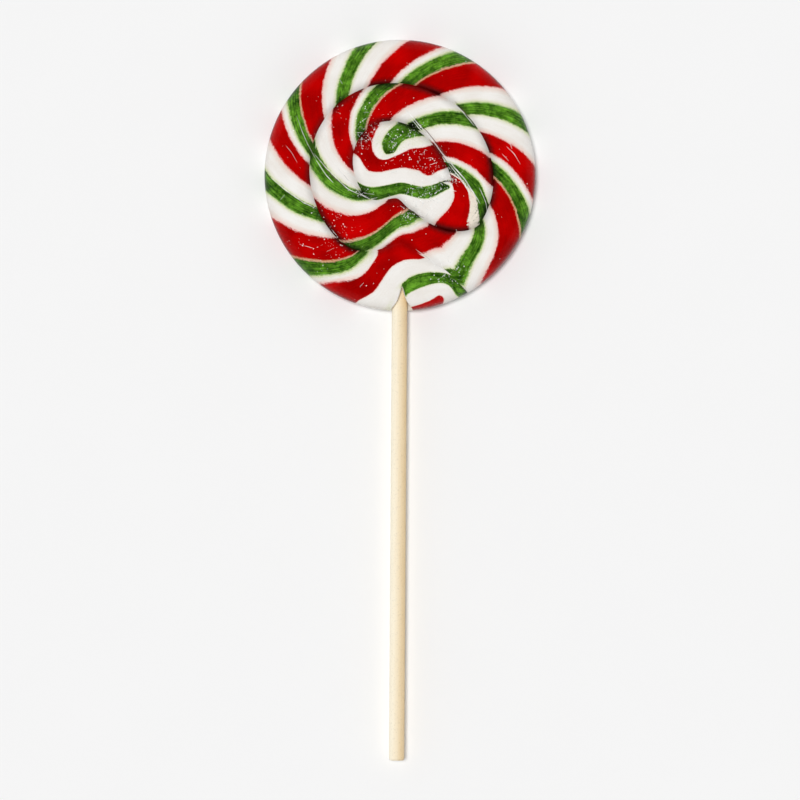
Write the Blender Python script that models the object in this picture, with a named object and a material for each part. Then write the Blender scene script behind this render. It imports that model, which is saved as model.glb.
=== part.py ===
"""Swirl lollipop: one coiled rope of hard candy, lying flat, with a round wooden stick in its rim.

Metres, +Z up. The origin is the centre of the coil's flat underside, and the stick points along -Y.
Angles along the coil are clockwise seen from above, counted from +X. They start at the rope's outer end,
the tail, and grow turn by turn towards the curl in the middle.
"""

import math

import bmesh
import bpy

MM = 0.001
TURN = 2 * math.pi

# The coil's outer shape
CANDY_RADIUS = 35.0 * MM
CANDY_THICKNESS = 9.5 * MM
RIM_ROUND = 4.2 * MM
RIM_FULLNESS = 2.3
RIM_TOP_ANGLE = math.radians(60)
RIM_BOTTOM_ANGLE = math.radians(-90)
RIM_ROWS = 10

# The groove between neighbouring turns: one spiral in three steps, each near the same side of the disc
TAIL_ANGLE = math.radians(60)
TAIL_SWEEP = math.radians(4)
FIRST_TURN_RADIUS = 23.6 * MM
FIRST_SAG = 6.5 * MM
FIRST_SAG_ANGLE = math.radians(89)
FIRST_SAG_SPREAD = (math.radians(11), math.radians(16.5))
FIRST_WAVE = 0.65 * MM
FIRST_WAVE_ANGLE = math.radians(230)
FIRST_WAVE_LENGTH = math.radians(150)
STEP_START = math.radians(390)
STEP_END = math.radians(433)
SECOND_TURN_RADIUS = 12.9 * MM
SECOND_SAG = 6.4 * MM
SECOND_SAG_ANGLE = math.radians(460)
SECOND_SAG_SPREAD = (math.radians(30), math.radians(24))
SECOND_WAVE = 1.6 * MM
SECOND_WAVE_ANGLE = math.radians(600)
SECOND_WAVE_LENGTH = math.radians(160)
CURL_START = math.radians(727)
CURL_END = math.radians(753.75)
CURL_SHAPE = 1.3

# The curl, where the rope's inner end is folded in, lies a little off the middle of the disc
CURL_OFFSET = (3.1 * MM, 3.1 * MM)
CURL_REACH = 12.9 * MM

# Relief of the groove, deep above and shallow on the flat underside
GROOVE_DEPTH = 1.0 * MM
GROOVE_SHOULDER = 2.6 * MM
GROOVE_START_LENGTH = math.radians(6)
GROOVE_END_LENGTH = math.radians(12)
TAIL_GROOVE_SHARE = 0.4
TAIL_GROOVE_END = math.radians(85)
FULL_GROOVE_START = math.radians(115)
UNDERSIDE_DEPTH = 0.5 * MM
UNDERSIDE_SHOULDER = 1.4 * MM
LARGEST_MARGIN_SHARE = 0.3

# Mesh of the coil
COLUMNS = 96
TOP_SHARES = (0.12, 0.3, 0.5, 0.7, 0.88)

# Stick, which leans a little to one side of -Y
STICK_RADIUS = 2.0 * MM
STICK_LENGTH = 150.0 * MM
STICK_DEPTH_IN_CANDY = 34.0 * MM
STICK_AXIS_HEIGHT = CANDY_THICKNESS / 2
STICK_LEAN = math.radians(0.37)
STICK_RIM_X = -0.13 * MM
STICK_SIDES = 28
STICK_CHAMFER = 0.35 * MM
SOCKET_GAP = 0.3 * MM

# Split in the rim's top over the stick
SPLIT_APEX = (0.5 * MM, -28.9 * MM)
SPLIT_LENGTH = 5.2 * MM
SPLIT_SLOPE = 0.28
SPLIT_FLARE = 1.1 * MM
SPLIT_FLARE_POWER = 5
SPLIT_POINTS = 6
SPLIT_OVERRUN = 3.5 * MM
SPLIT_FLOOR = 4.2 * MM
SPLIT_LIP_HEIGHT = 8.0 * MM
SPLIT_LIP_WIDENING = 1.35

# Finish
SUGAR_WHITE = (0.86, 0.83, 0.79)
SUGAR_ROUGHNESS = 0.18
BIRCH = (0.90, 0.79, 0.58)
BIRCH_ROUGHNESS = 0.6
SHARP_ANGLE = math.radians(35)
END_EDGE_ANGLE = math.radians(60)


def clear_scene():
    """Removes every object of the open scene."""
    for thing in list(bpy.data.objects):
        bpy.data.objects.remove(thing, do_unlink=True)


def make_material(name, colour, roughness):
    """A Principled material of one colour."""
    material = bpy.data.materials.new(name)
    material.use_nodes = True
    shader = material.node_tree.nodes["Principled BSDF"]
    shader.inputs["Base Color"].default_value = (*colour, 1.0)
    shader.inputs["Roughness"].default_value = roughness
    shader.inputs["Metallic"].default_value = 0.0
    return material


def ramp(value):
    """Smooth step from 0 to 1 as value goes from 0 to 1."""
    value = min(max(value, 0.0), 1.0)
    return value * value * (3.0 - 2.0 * value)


def sag(angle, centre, spread):
    """Bell of height 1 at centre, with its own spread before and after it."""
    side = spread[0] if angle < centre else spread[1]
    return math.exp(-0.5 * ((angle - centre) / side) ** 2)


def wave(angle, crest, length):
    """Gentle unevenness along the rope, 1 at the crest."""
    return math.cos(TURN * (angle - crest) / length)


def groove_radius(angle, edge):
    """Distance from the middle to the groove on the rope's inner side; the tail starts at the edge."""
    if angle >= CURL_END:
        return 0.0
    first = FIRST_TURN_RADIUS + (edge - FIRST_TURN_RADIUS) * math.exp((TAIL_ANGLE - angle) / TAIL_SWEEP)
    first -= FIRST_SAG * sag(angle, FIRST_SAG_ANGLE, FIRST_SAG_SPREAD)
    first += FIRST_WAVE * wave(angle, FIRST_WAVE_ANGLE, FIRST_WAVE_LENGTH)
    second = SECOND_TURN_RADIUS - SECOND_SAG * sag(angle, SECOND_SAG_ANGLE, SECOND_SAG_SPREAD)
    second += SECOND_WAVE * wave(angle, SECOND_WAVE_ANGLE, SECOND_WAVE_LENGTH)
    step = ramp((angle - STEP_START) / (STEP_END - STEP_START))
    closing = 1.0 - max(0.0, (angle - CURL_START) / (CURL_END - CURL_START))
    return (first + (second - first) * step) * closing ** CURL_SHAPE


def groove_strength(angle):
    """1 where the groove is fully pressed in, less along the tail, and 0 at both of its ends."""
    rising = ramp((angle - TAIL_ANGLE) / GROOVE_START_LENGTH)
    pressed = ramp((angle - TAIL_GROOVE_END) / (FULL_GROOVE_START - TAIL_GROOVE_END))
    fading = ramp((CURL_END - angle) / GROOVE_END_LENGTH)
    return rising * fading * (TAIL_GROOVE_SHARE + (1.0 - TAIL_GROOVE_SHARE) * pressed)


def shoulder(distance, width):
    """Share of the groove's depth left at a distance from its bottom: a quarter round."""
    left = max(0.0, 1.0 - distance / width)
    return 1.0 - math.sqrt(1.0 - left * left)


def rim_drop(radius):
    """How far the rounded rim has fallen below the top at this radius."""
    out = min(max((radius - CANDY_RADIUS + RIM_ROUND) / RIM_ROUND, 0.0), 1.0)
    return CANDY_THICKNESS / 2 * (1.0 - (1.0 - out**RIM_FULLNESS) ** (1.0 / RIM_FULLNESS))


def rim_profile(lift):
    """Radius and height on the rounded rim; lift is 90 degrees at the top and -90 degrees below."""
    out = abs(math.cos(lift)) ** (2 / RIM_FULLNESS)
    up = math.copysign(abs(math.sin(lift)) ** (2 / RIM_FULLNESS), lift)
    return CANDY_RADIUS - RIM_ROUND + RIM_ROUND * out, CANDY_THICKNESS / 2 * (1.0 + up)


def coil_point(angle, radius, height):
    """Point of the coil, whose middle drifts to the curl as the radius shrinks."""
    drift = 1.0 - ramp(radius / CURL_REACH)
    x = CURL_OFFSET[0] * drift + radius * math.cos(angle)
    y = CURL_OFFSET[1] * drift - radius * math.sin(angle)
    return x, y, height


def column_angle(column):
    """Angle along the coil of a column of the mesh; column 0 is the tail's tip."""
    return TAIL_ANGLE + column * TURN / COLUMNS


class TopFace:
    """The upper face: crowned strands between deep grooves."""

    edge = rim_profile(RIM_TOP_ANGLE)[0]

    def shares(self, width):
        return TOP_SHARES

    def groove_height(self, angle, radius):
        return CANDY_THICKNESS - rim_drop(radius) - GROOVE_DEPTH * groove_strength(angle)

    def strand_height(self, angle, radius, inner, outer):
        inner_dip = groove_strength(angle) * shoulder(radius - inner, GROOVE_SHOULDER)
        outer_dip = groove_strength(angle - TURN) * shoulder(outer - radius, GROOVE_SHOULDER)
        return CANDY_THICKNESS - rim_drop(radius) - GROOVE_DEPTH * max(inner_dip, outer_dip)


class Underside:
    """The lower face: flat lands at height 0 between shallow grooves."""

    edge = rim_profile(RIM_BOTTOM_ANGLE)[0]

    def shares(self, width):
        margin = min(UNDERSIDE_SHOULDER / width, LARGEST_MARGIN_SHARE)
        return margin, 0.5, 1.0 - margin

    def groove_height(self, angle, radius):
        return UNDERSIDE_DEPTH * groove_strength(angle)

    def strand_height(self, angle, radius, inner, outer):
        return 0.0


def add_coil_face(mesh, face, upward):
    """Adds a face of the coil as one spiral grid and returns its outer ring of vertices."""
    closed = round((CURL_END - TAIL_ANGLE) / TURN * COLUMNS)
    rim = add_ring(mesh, face.edge, face.groove_height(TAIL_ANGLE, face.edge))
    grooves = [(rim[0], face.edge)]
    for column in range(1, closed):
        angle = column_angle(column)
        radius = groove_radius(angle, face.edge)
        grooves.append((mesh.verts.new(coil_point(angle, radius, face.groove_height(angle, radius))), radius))
    middle = (mesh.verts.new(coil_point(CURL_END, 0.0, face.groove_height(CURL_END, 0.0))), 0.0)

    def groove_at(column):
        """Vertex and radius of the groove: the rim before the tail, the middle past the curl."""
        if column < 0:
            return rim[column % COLUMNS], face.edge
        return grooves[column] if column < closed else middle

    lines = [
        add_strand_line(mesh, face, column_angle(column), groove_at(column), groove_at(column - COLUMNS))
        for column in range(closed + COLUMNS + 1)
    ]
    for near, far in zip(lines, lines[1:]):
        for row in range(len(near) - 1):
            corners = [near[row], far[row], far[row + 1], near[row + 1]]
            add_polygon(mesh, corners if upward else corners[::-1])
    return rim


def add_strand_line(mesh, face, angle, inner, outer):
    """Vertices across the rope from its inner groove to its outer one; all are one vertex at its tips."""
    inner_vertex, inner_radius = inner
    outer_vertex, outer_radius = outer
    if inner_vertex is outer_vertex:
        return [inner_vertex] * (len(face.shares(MM)) + 2)
    width = outer_radius - inner_radius
    line = [inner_vertex]
    for share in face.shares(width):
        radius = inner_radius + share * width
        height = face.strand_height(angle, radius, inner_radius, outer_radius)
        line.append(mesh.verts.new(coil_point(angle, radius, height)))
    return [*line, outer_vertex]


def add_ring(mesh, radius, height):
    """Vertices of a full circle about the coil's middle, one for each column of a turn."""
    return [mesh.verts.new(coil_point(column_angle(column), radius, height)) for column in range(COLUMNS)]


def add_polygon(mesh, corners):
    """Adds a polygon, leaving out corners that fall on one vertex."""
    kept = list(dict.fromkeys(corners))
    if len(kept) > 2:
        mesh.faces.new(kept)


def add_rim(mesh, top_ring, bottom_ring):
    """Joins the two faces by the rounded rim."""
    rings = [top_ring]
    for row in range(1, RIM_ROWS):
        lift = RIM_TOP_ANGLE + (RIM_BOTTOM_ANGLE - RIM_TOP_ANGLE) * row / RIM_ROWS
        rings.append(add_ring(mesh, *rim_profile(lift)))
    rings.append(bottom_ring)
    for upper, lower in zip(rings, rings[1:]):
        for column in range(COLUMNS):
            following = (column + 1) % COLUMNS
            add_polygon(mesh, [upper[column], upper[following], lower[following], lower[column]])


def add_object(name, mesh, material):
    """Turns a bmesh into a named object of the scene."""
    bmesh.ops.recalc_face_normals(mesh, faces=mesh.faces)
    data = bpy.data.meshes.new(name)
    mesh.to_mesh(data)
    mesh.free()
    thing = bpy.data.objects.new(name, data)
    bpy.context.scene.collection.objects.link(thing)
    if material:
        data.materials.append(material)
    return thing


def shade_round(thing):
    """Smooth shading that keeps the creases."""
    thing.data.shade_smooth()
    thing.data.set_sharp_from_angle(angle=SHARP_ANGLE)


def cut(thing, cutter):
    """Subtracts a hidden cutter from an object."""
    cutter.hide_render = True
    cutter.display_type = "WIRE"
    modifier = thing.modifiers.new(cutter.name, "BOOLEAN")
    modifier.operation = "DIFFERENCE"
    modifier.solver = "EXACT"
    modifier.object = cutter


def lay_along_stick(thing, near_end, length):
    """Lays a cylinder that stands on its middle along the stick's axis, from near_end in -Y."""
    middle = near_end - length / 2
    thing.location = (stick_x(middle), middle, STICK_AXIS_HEIGHT)
    thing.rotation_euler = (math.radians(90), 0.0, -STICK_LEAN)


def stick_x(y):
    """The stick's sideways place at y."""
    return STICK_RIM_X + (y + CANDY_RADIUS) * math.tan(STICK_LEAN)


def make_rod(name, radius, length, material):
    """A plain cylinder about its own middle."""
    mesh = bmesh.new()
    bmesh.ops.create_cone(
        mesh, cap_ends=True, segments=STICK_SIDES, radius1=radius, radius2=radius, depth=length
    )
    return add_object(name, mesh, material)


def make_split_cutter():
    """A wedge that opens the rim's top over the stick: a point inwards and flaring lips at the rim."""
    mesh = bmesh.new()
    sections = []
    reach = SPLIT_LENGTH + SPLIT_OVERRUN
    for height, widening in (
        (SPLIT_FLOOR, 1.0),
        (SPLIT_LIP_HEIGHT, 1.0),
        (CANDY_THICKNESS + MM, SPLIT_LIP_WIDENING),
    ):
        left = []
        right = []
        for step in range(1, SPLIT_POINTS + 1):
            out = reach * step / SPLIT_POINTS
            flare = SPLIT_FLARE * min(out / SPLIT_LENGTH, 1.0) ** SPLIT_FLARE_POWER
            half = widening * (SPLIT_SLOPE * out + flare)
            left.append(mesh.verts.new((SPLIT_APEX[0] - half, SPLIT_APEX[1] - out, height)))
            right.append(mesh.verts.new((SPLIT_APEX[0] + half, SPLIT_APEX[1] - out, height)))
        apex = mesh.verts.new((SPLIT_APEX[0], SPLIT_APEX[1] + (widening - 1.0) * MM, height))
        sections.append([apex, *left, *right[::-1]])
    for lower, upper in zip(sections, sections[1:]):
        for index, corner in enumerate(lower):
            following = (index + 1) % len(lower)
            mesh.faces.new([corner, lower[following], upper[following], upper[index]])
    mesh.faces.new(sections[0][::-1])
    mesh.faces.new(sections[-1])
    return add_object("split_cutter", mesh, None)


def make_socket_cutter():
    """The stick's hole, with its gap all round and past its inner end."""
    near_end = STICK_DEPTH_IN_CANDY - CANDY_RADIUS + SOCKET_GAP
    length = STICK_DEPTH_IN_CANDY + SOCKET_GAP + STICK_RADIUS
    rod = make_rod("socket_cutter", STICK_RADIUS + SOCKET_GAP, length, None)
    lay_along_stick(rod, near_end, length)
    return rod


def make_candy():
    """The coil: both faces, the rim, the split and the stick's socket."""
    mesh = bmesh.new()
    top_ring = add_coil_face(mesh, TopFace(), upward=True)
    bottom_ring = add_coil_face(mesh, Underside(), upward=False)
    add_rim(mesh, top_ring, bottom_ring)
    candy = add_object("candy_coil", mesh, make_material("candy", SUGAR_WHITE, SUGAR_ROUGHNESS))
    cut(candy, make_split_cutter())
    cut(candy, make_socket_cutter())
    shade_round(candy)


def make_stick():
    """The round wooden stick with its slightly broken end edges."""
    stick = make_rod("stick", STICK_RADIUS, STICK_LENGTH, make_material("birch", BIRCH, BIRCH_ROUGHNESS))
    lay_along_stick(stick, STICK_DEPTH_IN_CANDY - CANDY_RADIUS, STICK_LENGTH)
    bevel = stick.modifiers.new("broken_edge", "BEVEL")
    bevel.width = STICK_CHAMFER
    bevel.segments = 2
    bevel.limit_method = "ANGLE"
    bevel.angle_limit = END_EDGE_ANGLE
    shade_round(stick)


def main():
    """Builds the lollipop."""
    clear_scene()
    make_candy()
    make_stick()


main()
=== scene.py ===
"""Finish of a swirl lollipop: striped hard candy coiled from one twisted rope, on a birch stick.

Metres, +Z up. The coil lies on its flat underside at the origin and the stick points along -Y. Angles along the
coil are clockwise seen from above, counted from +X; they start at the rope's outer end and grow towards the curl
in the middle.
"""

import math

import bmesh
import bpy
from bpy.props import FloatProperty, FloatVectorProperty, IntProperty, PointerProperty
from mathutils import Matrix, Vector, noise


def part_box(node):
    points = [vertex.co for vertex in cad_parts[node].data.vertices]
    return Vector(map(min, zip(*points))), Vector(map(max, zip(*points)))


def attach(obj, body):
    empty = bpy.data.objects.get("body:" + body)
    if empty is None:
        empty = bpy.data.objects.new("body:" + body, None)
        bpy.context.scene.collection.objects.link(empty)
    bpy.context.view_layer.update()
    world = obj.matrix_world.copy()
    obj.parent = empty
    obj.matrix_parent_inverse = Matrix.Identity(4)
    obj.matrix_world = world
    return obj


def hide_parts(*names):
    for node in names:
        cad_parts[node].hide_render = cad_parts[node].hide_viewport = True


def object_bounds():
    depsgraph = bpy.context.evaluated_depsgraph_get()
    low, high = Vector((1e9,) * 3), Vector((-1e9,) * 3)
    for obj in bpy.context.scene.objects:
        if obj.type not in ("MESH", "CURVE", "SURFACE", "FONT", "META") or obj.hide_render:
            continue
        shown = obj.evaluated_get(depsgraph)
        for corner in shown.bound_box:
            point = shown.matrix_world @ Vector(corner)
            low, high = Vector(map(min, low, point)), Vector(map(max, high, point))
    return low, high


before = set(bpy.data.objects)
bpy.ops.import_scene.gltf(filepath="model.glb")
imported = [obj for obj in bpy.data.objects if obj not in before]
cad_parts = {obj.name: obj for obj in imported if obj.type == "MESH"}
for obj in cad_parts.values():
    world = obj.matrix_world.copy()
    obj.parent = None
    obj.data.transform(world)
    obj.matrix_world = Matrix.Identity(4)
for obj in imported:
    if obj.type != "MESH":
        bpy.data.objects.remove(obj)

bl_info = {
    "name": "Swirl Lollipop",
    "version": (1, 0, 0),
    "blender": (4, 5, 0),
    "location": "3D View > Sidebar > Lollipop",
    "description": "Builds a striped, coiled hard-candy lollipop on its wooden stick",
    "category": "Object",
}

CAD_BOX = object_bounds()
COIL_LOW, COIL_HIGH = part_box("candy_coil")
STICK_LOW, STICK_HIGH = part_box("stick")

MM = 0.001
TURN = 2 * math.pi

# Groove between the coil's turns: one spiral in three steps, each near the same side of the disc
TAIL_ANGLE = math.radians(60)
TAIL_SWEEP = math.radians(4)
FIRST_TURN_RADIUS = 23.6 * MM
FIRST_SAG = 6.5 * MM
FIRST_SAG_ANGLE = math.radians(89)
FIRST_SAG_SPREAD = (math.radians(11), math.radians(16.5))
FIRST_WAVE = 0.65 * MM
FIRST_WAVE_ANGLE = math.radians(230)
FIRST_WAVE_LENGTH = math.radians(150)
STEP_START = math.radians(390)
STEP_END = math.radians(433)
SECOND_TURN_RADIUS = 12.9 * MM
SECOND_SAG = 6.4 * MM
SECOND_SAG_ANGLE = math.radians(460)
SECOND_SAG_SPREAD = (math.radians(30), math.radians(24))
SECOND_WAVE = 1.6 * MM
SECOND_WAVE_ANGLE = math.radians(600)
SECOND_WAVE_LENGTH = math.radians(160)
CURL_START = math.radians(727)
CURL_END = math.radians(753.75)
CURL_SHAPE = 1.3
CURL_OFFSET = (3.1 * MM, 3.1 * MM)
CURL_REACH = 12.9 * MM

# Rim and relief
RIM_ROUND = 4.2 * MM
RIM_FULLNESS = 2.3
GROOVE_START_LENGTH = math.radians(6)
GROOVE_FADE = (math.radians(724), math.radians(738))
TAIL_GROOVE_SHARE = 0.4
TAIL_GROOVE_END = math.radians(85)
FULL_GROOVE_START = math.radians(115)
SHOULDER_FULLNESS = 2.3
UNDERSIDE_DEPTH = 0.5 * MM
UNDERSIDE_SHOULDER = 1.4 * MM

# Twist of the striped rope: where its first red stripe starts, and the stretches where it runs late or leans more
TWIST_START = 37.7 * MM
LATE_TWISTS = (
    (1.9 * MM, 58 * MM, (14 * MM, 14 * MM)),
    (4.6 * MM, 256 * MM, (35 * MM, 22 * MM)),
)
EXTRA_LEAN = 10.5 * MM
EXTRA_LEAN_PLACE = 183 * MM
EXTRA_LEAN_SPREAD = (7 * MM, 7 * MM)

# Where the rope's ends were folded over, the middle of each stripe follows a line: (twist, points in mm)
CURL_STRIPES = (
    (6.93, ((-3.0, 6.2), (-2.8, 8.4), (-1.2, 10.9), (1.6, 11.9), (7.5, 11.2))),
    (6.93, ((-1.9, 6.1), (-1.5, 8.2), (0.2, 10.3), (2.4, 11.2))),
    (6.84, ((-1.9, 13.4), (-4.6, 11.0), (-5.7, 8.2), (-4.9, 5.4), (-3.2, 4.3), (0.4, 6.6), (2.4, 8.0), (9.0, 9.3))),
    (6.716, ((-7.5, 12.5), (-9.2, 7.5), (-8.3, 4.3), (-5.6, 2.6), (-2.0, 3.8), (2.4, 4.5), (6.8, 4.9), (9.8, 6.2))),
    (6.66, ((3.4, 3.0), (5.6, 2.2), (7.4, 0.6), (9.2, 1.8), (12.0, 3.0))),
    (6.543, ((-11.5, 3.0), (-9.5, -0.8), (-5.7, -1.1), (-2.1, -0.4), (0.9, -0.2), (3.9, -0.7), (7.4, -1.5), (12.6, 0.2))),
    (6.396, ((-12.0, -3.0), (-7.7, -4.9), (-2.4, -4.3), (0.4, -3.8), (3.9, -4.7), (6.8, -4.4), (11.8, -2.6))),
    (6.27, ((-5.0, -8.0), (0.4, -6.2), (7.3, -7.9), (12.4, -5.3))),
)
JOIN_STRIPES = (
    (6.1, ((15.2, -2.8), (15.7, -6.2), (15.5, -9.6), (13.3, -13.1))),
    (5.9855, ((16.6, -1.6), (18.1, -3.6), (18.9, -7.9), (18.5, -12.2))),
    (5.93, ((18.2, -2.0), (19.8, -3.6), (21.9, -7.9), (22.8, -11.4))),
    (5.84, ((21.9, -2.8), (23.2, -7.0))),
)
CURL_FOLD = (math.radians(722), math.radians(736))
CURL_ALONE = math.radians(940)
TAIL_STRIPES = (
    (-0.16, ((-14.2, -26.3), (-10.1, -24.3), (-7.3, -20.7))),
    (-0.284, ((-12.4, -31.2), (-10.2, -29.8), (-7.0, -26.3), (-3.9, -21.7), (0.8, -19.6), (4.9, -20.0))),
    (-0.5, ((-9.4, -34.0), (-5.6, -33.0), (-3.2, -30.8), (-1.8, -28.0), (1.8, -24.9), (6.4, -23.8), (10.6, -24.3),
        (13.6, -25.4))),
    (-0.5, ((-0.7, -33.8), (-0.3, -30.6))),
    (-0.604, ((2.2, -29.3), (5.2, -27.4), (8.4, -26.6), (11.6, -26.3), (13.6, -27.3), (15.2, -29.4))),
    (-0.735, ((3.2, -31.4), (6.9, -30.5), (9.8, -29.7), (11.8, -30.3))),
    (-0.735, ((2.0, -33.0), (4.4, -32.7), (6.9, -31.9), (8.4, -31.1), (10.0, -30.3), (12.2, -31.4), (12.6, -33.6))),
    (-0.9, ((3.2, -35.2), (6.9, -33.7), (8.6, -32.9), (10.2, -31.9))),
)
TAIL_FOLD = (math.radians(106), math.radians(122))
DRAWN_STRIPES = CURL_STRIPES + JOIN_STRIPES + TAIL_STRIPES
STRIPE_PULL = 3.0
LAST_GAP_TWIST = 5.9

# Width of the dark band of painted shade beside the groove, in mm from its bottom
SEAM_SHADE_WIDTH = 2.1

# Clear film: room for its creases under the coil's full height, and the creases: (half width, brightness, points),
# sizes in mm; the brightness paints a highlight at 1 and a dark line of shade at 0
FILM_ROOM = 0.1 * MM
FILM_CREASES = (
    (0.16, 1.0, ((1.4, 16.9), (4.2, 13.6), (7.5, 9.9), (10.3, 6.35), (13.1, 2.85), (16.9, -1.6), (20.6, -7.5))),
    (0.10, 1.0, ((2.2, 14.9), (4.3, 12.7), (6.6, 9.9))),
    (0.10, 0.0, ((3.6, 14.8), (6.7, 11.4), (9.6, 7.9), (12.4, 4.4))),
    (0.13, 0.0, ((7.4, 9.3), (10.0, 6.0), (12.3, 2.9), (13.2, 1.0))),
    (0.12, 1.0, ((12.5, 2.8), (14.3, 0.6), (16.3, -2.1), (18.6, -6.2))),
    (0.12, 1.0, ((11.4, 3.6), (12.9, 2.9), (14.4, 2.6))),
    (0.10, 1.0, ((13.8, 18.7), (16.6, 15.6), (19.2, 12.4))),
    (0.10, 0.0, ((14.1, 18.9), (16.9, 15.8), (19.5, 12.6))),
    (0.08, 0.9, ((4.0, -19.2), (7.6, -21.8), (11.4, -24.9))),
    (0.12, 1.0, ((-10.4, -4.9), (-9.0, -5.7), (-7.7, -6.3))),
    (0.10, 1.0, ((-22.0, 5.4), (-19.4, 2.1), (-16.8, -0.5), (-12.7, -4.1), (-8.5, -5.6))),
    (0.10, 1.0, ((-21.6, 3.8), (-19.4, 0.4), (-17.2, -2.1))),
    (0.09, 0.0, ((-21.4, 4.8), (-19.0, 1.4), (-16.6, -1.2), (-13.5, -3.9))),
    (0.09, 1.0, ((-33.4, -0.7), (-29.4, -4.0), (-25.3, -6.9), (-21.6, -8.8))),
    (0.06, 0.8, ((-29.4, 7.5), (-27.8, 5.4), (-26.4, 3.0))),
    (0.07, 0.9, ((-16.8, 2.6), (-13.2, -1.6), (-9.3, -5.7))),
    (0.10, 0.0, ((1.0, -8.1), (3.6, -9.9), (6.2, -11.1))),
    (0.07, 0.9, ((27.4, 7.2), (29.4, 5.2), (31.0, 2.6))),
    (0.06, 0.9, ((26.2, 5.4), (28.0, 3.4))),
    (0.06, 0.9, ((-24.6, -18.4), (-22.4, -18.9))),
    (0.08, 1.0, ((20.4, -3.4), (22.0, -7.0), (22.6, -10.2))),
    (0.06, 0.9, ((-26.6, 15.2), (-24.6, 9.6), (-21.6, 4.0))),
)
FILM_STEP = 0.25 * MM
GLINT_CLUSTERS = (
    (-8.6, 13.0, 3.6, 1.2), (-8.6, 9.6, 1.6, 3.0), (-1.6, 8.4, 2.4, 2.0), (2.4, 4.6, 3.6, 0.8), (8.0, 3.4, 2.4, 1.0),
    (12.8, -0.5, 1.5, 9.0), (7.0, -4.2, 3.0, 4.0), (3.4, -9.8, 2.0, 4.0), (-18.5, -14.5, 4.5, 1.0),
    (12.5, -25.4, 2.6, 2.0), (-14.0, 16.0, 4.0, 0.2), (4.4, 12.6, 1.6, 2.4), (-9.8, -4.8, 1.8, 2.0),
)
GLINT_DENSITY = 0.65e6

# Painted shade in spots where the rope was pressed deep: (x, y, radius) in mm
PRESSED_SHADE_SPOTS = ((-2.8, 5.7, 1.1), (3.0, 12.7, 1.7), (-9.4, 9.6, 1.8), (-9.8, -4.9, 1.4), (12.6, 1.2, 1.2), (11.6, -2.0, 1.2))

# Mesh of the coil
COLUMNS_PER_TURN = 384
TOP_ROWS = 40
UNDERSIDE_ROWS = 20
MERGE_DISTANCE = 0.001 * MM
POLE_SPACING = (math.radians(660), math.radians(740))
ROPE_MAP = "rope"
SEAM_MAP = "seam"

# Split in the rim's top over the stick
SPLIT_APEX = (0.5 * MM, -28.9 * MM)
SPLIT_LENGTH = 5.2 * MM
SPLIT_SLOPE = 0.28
SPLIT_FLARE = 1.1 * MM
SPLIT_FLARE_POWER = 5
SPLIT_POINTS = 14
SPLIT_OVERRUN = 3.5 * MM
SPLIT_FLOOR = 4.2 * MM
SPLIT_LIP_START = 7.6 * MM
SPLIT_LIP_ROUND = 0.9 * MM

# Stick
STICK_LEAN = math.radians(0.37)
STICK_RIM_X = -0.13 * MM
STICK_SIDES = 64
STICK_RINGS = 220
STICK_CHAMFER = 0.16 * MM
SOCKET_GAP = 0.3 * MM


class Flow:
    """A number in a node tree; arithmetic on it adds Math nodes."""

    def __init__(self, tree, socket):
        self.tree = tree
        self.socket = socket

    def apply(self, operation, *others):
        node = self.tree.nodes.new("ShaderNodeMath")
        node.operation = operation
        for entry, value in zip(node.inputs, (self, *others)):
            feed(self.tree, value, entry)
        return Flow(self.tree, node.outputs[0])

    def __add__(self, other):
        return self.apply("ADD", other)

    __radd__ = __add__

    def __sub__(self, other):
        return self.apply("SUBTRACT", other)

    def __rsub__(self, other):
        return (self * -1.0) + other

    def __mul__(self, other):
        return self.apply("MULTIPLY", other)

    __rmul__ = __mul__

    def __truediv__(self, other):
        return self.apply("DIVIDE", other)

    def __pow__(self, other):
        return self.apply("POWER", other)

    def cos(self):
        return self.apply("COSINE")

    def sin(self):
        return self.apply("SINE")

    def exp(self):
        return self.apply("EXPONENT")

    def sqrt(self):
        return self.apply("SQRT")

    def floor(self):
        return self.apply("FLOOR")

    def least(self, other):
        return self.apply("MINIMUM", other)

    def most(self, other):
        return self.apply("MAXIMUM", other)

    def over(self, other):
        return self.apply("GREATER_THAN", other)

    def smooth(self, start, end):
        """0 before start, 1 after end, and a smooth step between them."""
        node = self.tree.nodes.new("ShaderNodeMapRange")
        node.interpolation_type = "SMOOTHSTEP"
        feed(self.tree, self, node.inputs["Value"])
        feed(self.tree, start, node.inputs["From Min"])
        feed(self.tree, end, node.inputs["From Max"])
        return Flow(self.tree, node.outputs["Result"])


def feed(tree, value, entry):
    """Gives a socket a value, or a link if the value comes from another node."""
    if isinstance(value, Flow):
        tree.links.new(value.socket, entry)
    elif isinstance(value, bpy.types.NodeSocket):
        tree.links.new(value, entry)
    else:
        entry.default_value = value


def add_node(tree, kind, settings=None, **entries):
    """Adds a node, sets its properties and feeds its sockets by name, with _ for a space."""
    node = tree.nodes.new(kind)
    for name, value in (settings or {}).items():
        setattr(node, name, value)
    for name, value in entries.items():
        feed(tree, value, node.inputs[name.replace("_", " ")])
    return node


def blend(start, end, share):
    """Mixes two numbers or flows."""
    return start + (end - start) * share


def new_geometry_tree(name, inputs, outputs):
    """An empty geometry tree with a named interface; inputs are (name, socket kind, default)."""
    tree = bpy.data.node_groups.new(name, "GeometryNodeTree")
    for label, kind, default in inputs:
        socket = tree.interface.new_socket(label, in_out="INPUT", socket_type=kind)
        if default is not None:
            socket.default_value = default
    for label, kind in outputs:
        tree.interface.new_socket(label, in_out="OUTPUT", socket_type=kind)
    return tree, tree.nodes.new("NodeGroupInput"), tree.nodes.new("NodeGroupOutput")


def bell(angle, centre, spread):
    """Bell of height 1 at centre, with its own spread before and after it."""
    before, after = spread
    side = blend(before, after, angle.over(centre)) if before != after else before
    return ((((angle - centre) / side) ** 2) * -0.5).exp()


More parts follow.
